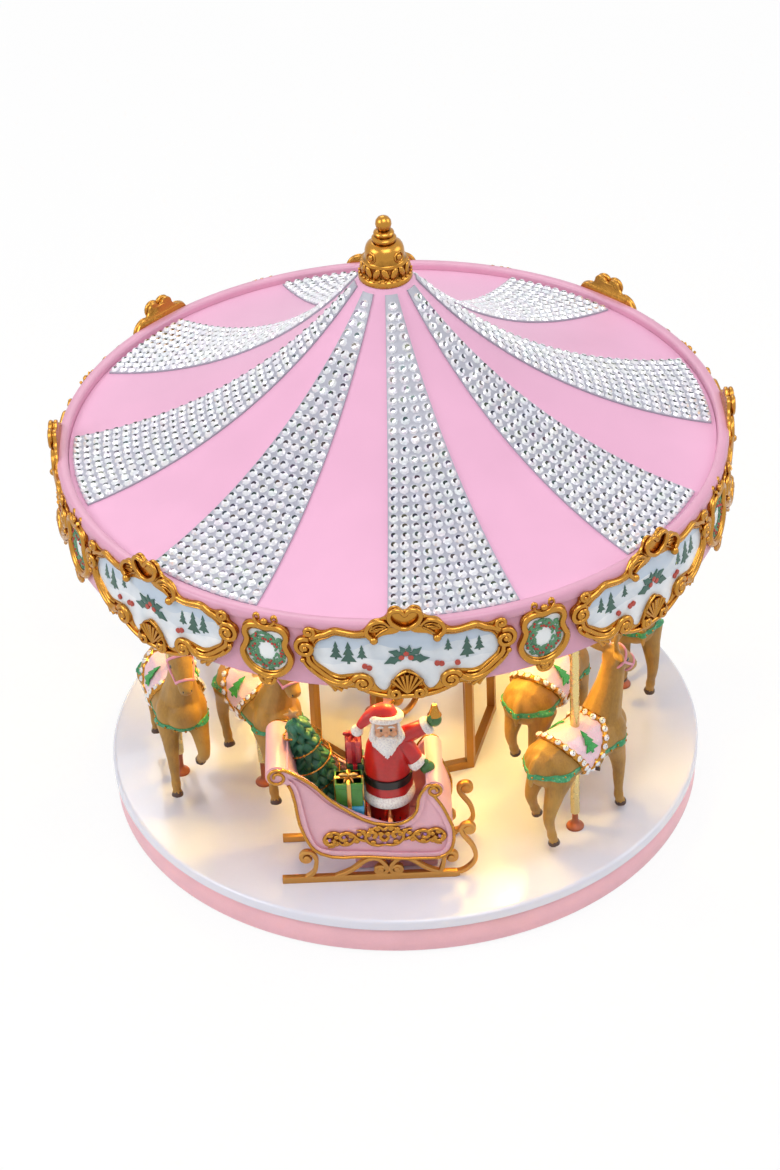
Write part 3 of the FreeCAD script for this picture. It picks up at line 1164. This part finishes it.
def sleigh_driver():
    """Standing figure in a long coat and a drooping cap, one arm raised with a bell; its face is plain."""
    x, y = DRIVER_PLACE
    coat_edges = chain([(0, COAT[0][1])] + COAT + [(0, COAT[-1][1]), (0, COAT[0][1])])
    shapes = [revolved(coat_edges)]
    for side in (-1, 1):
        foot = Vector(side * 1.1 * BOOT_RADIUS, 0, DRIVER_FLOOR)
        shapes.append(Part.makeCylinder(BOOT_RADIUS, COAT[1][1] - DRIVER_FLOOR, foot))
    shapes.append(Part.makeSphere(HEAD_RADIUS, Vector(0, 0, HEAD_HEIGHT)))
    shapes.append(round_loft([(px, 0, pz, radius) for px, pz, radius in CAP]))
    shapes.append(Part.makeSphere(POMPOM_RADIUS, Vector(CAP[-1][0], 0, CAP[-1][1])))
    shapes.append(round_loft([(0, py, pz, radius) for py, pz, radius in BEARD]))
    for (shoulder, wrist), mitten in ((RAISED_ARM, RAISED_MITTEN), (LOW_ARM, LOW_MITTEN)):
        shapes.append(Part.makeSphere(ARM_RADIUS, Vector(*shoulder)))
        shapes.append(rod(ARM_RADIUS, shoulder, wrist))
        shapes.append(rod(ARM_RADIUS * 0.8, wrist, mitten))
        shapes.append(Part.makeSphere(MITTEN_RADIUS, Vector(*mitten)))
    shapes.append(Part.makeCone(BELL_RADIUS * 0.4, BELL_RADIUS, BELL_HEIGHT, Vector(*RAISED_MITTEN)))
    return moved(fused(shapes), x, y, DECK_TOP)


def fir_tree():
    """Leaning fir: trunk, four flaring tiers and a star."""
    foot = Vector(*TREE_FOOT)
    along = Vector(*TREE_TIP) - foot
    height = along.Length
    shapes = [Part.makeCylinder(TREE_TRUNK_RADIUS, height * 0.5)]
    for start, radius, end in TREE_TIERS:
        shapes.append(Part.makeCone(radius, 0.6, height * (end - start), Vector(0, 0, height * start)))
    points = []
    for step in range(2 * STAR_POINTS + 1):
        turn = math.pi * step / STAR_POINTS
        reach = STAR_RADIUS if step % 2 == 0 else STAR_RADIUS * 0.42
        star_height = height + STAR_RADIUS * 0.3 + reach * math.cos(turn)
        points.append(Vector(reach * math.sin(turn), -STAR_THICKNESS / 2, star_height))
    shapes.append(Part.Face(Part.makePolygon(points)).extrude(Vector(0, STAR_THICKNESS, 0)))
    tree = fused(shapes)
    lean = math.degrees(math.atan2(along.x, along.z))
    tree.rotate(Vector(0, 0, 0), Vector(0, 1, 0), lean)
    return moved(tree, foot.x, foot.y, foot.z + DECK_TOP)


def gift_boxes():
    """Wrapped boxes, each with a ribbon round it both ways."""
    boxes = []
    for x, y, bottom, length, width, height in GIFTS:
        low = bottom + DECK_TOP
        box = block((x - length / 2, x + length / 2), (y - width / 2, y + width / 2), (low, low + height))
        half = RIBBON_WIDTH / 2
        reach_x, reach_y = length / 2 + RIBBON, width / 2 + RIBBON
        lengthwise = block((x - reach_x, x + reach_x), (y - half, y + half), (low, low + height))
        crosswise = block((x - half, x + half), (y - reach_y, y + reach_y), (low, low + height))
        boxes.append(fused([box, lengthwise, crosswise]))
    return group(boxes)


def build():
    """All nodes of the carousel, by name."""
    nodes = {
        "base_housing": base_housing(),
        "bottom_cover": bottom_cover(),
        "rubber_feet": rubber_feet(),
        "cover_screws": cover_screws(),
        "centre_post": centre_post(),
        "thrust_washer": thrust_washer(),
        "gear_motor": gear_motor(),
        "circuit_board": circuit_board(),
        "speaker": speaker(),
        "power_inlet": power_inlet(),
        "barrel_cam": barrel_cam(),
        "volume_knob": volume_knob(),
        "power_button": power_button(),
        "drive_pinion": drive_pinion(),
        "deck": deck(),
        "drive_gear": drive_gear(),
        "column_frame": column_frame(),
        "mirror_panels": mirror_panels(),
        "soffit": soffit(),
        "canopy_rim": canopy_rim(),
        "canopy_cover": canopy_cover(),
        "crystal_stripes": crystal_stripes(),
        "finial": finial(),
        "large_frames": large_frames(),
        "small_frames": small_frames(),
        "picture_panels": picture_panels(),
        "lamps": lamps(),
        "guide_pins": guide_pins(),
        "pole_bushes": pole_bushes(),
        "sleigh_body": sleigh_body(),
        "sleigh_trim": sleigh_trim(),
        "sleigh_runners": sleigh_runners(),
        "sleigh_driver": sleigh_driver(),
        "fir_tree": fir_tree(),
        "gift_boxes": gift_boxes(),
    }
    body = deer_body()
    rocker_turn = math.degrees(ROCKER_TURN)
    for index, azimuth in enumerate(pair_azimuths()):
        number = index + 1
        lift = pair_lift(index)
        nodes[f"rocker_{number}"] = rocker(index)
        nodes[f"outer_deer_{number}"] = placed_deer(body, OUTER_CIRCLE, azimuth, lift)
        nodes[f"outer_pole_{number}"] = at_pole(pole(lift, rocker_turn), OUTER_CIRCLE, azimuth)
        inner_azimuth = azimuth + INNER_LEAD
        inner_pole = pole(-lift, rocker_turn - INNER_LEAD)
        nodes[f"inner_deer_{number}"] = placed_deer(body, INNER_CIRCLE, inner_azimuth, -lift)
        nodes[f"inner_pole_{number}"] = at_pole(inner_pole, INNER_CIRCLE, inner_azimuth)
    return nodes


def main():
    """Write one STEP file per node."""
    os.makedirs("parts", exist_ok=True)
    for name, shape in build().items():
        shape.exportStep(f"parts/{name}.step")
        print(name, "solids", len(shape.Solids), "valid", shape.isValid(), "volume", round(shape.Volume, 1))


if __name__ == "__main__":
    main()
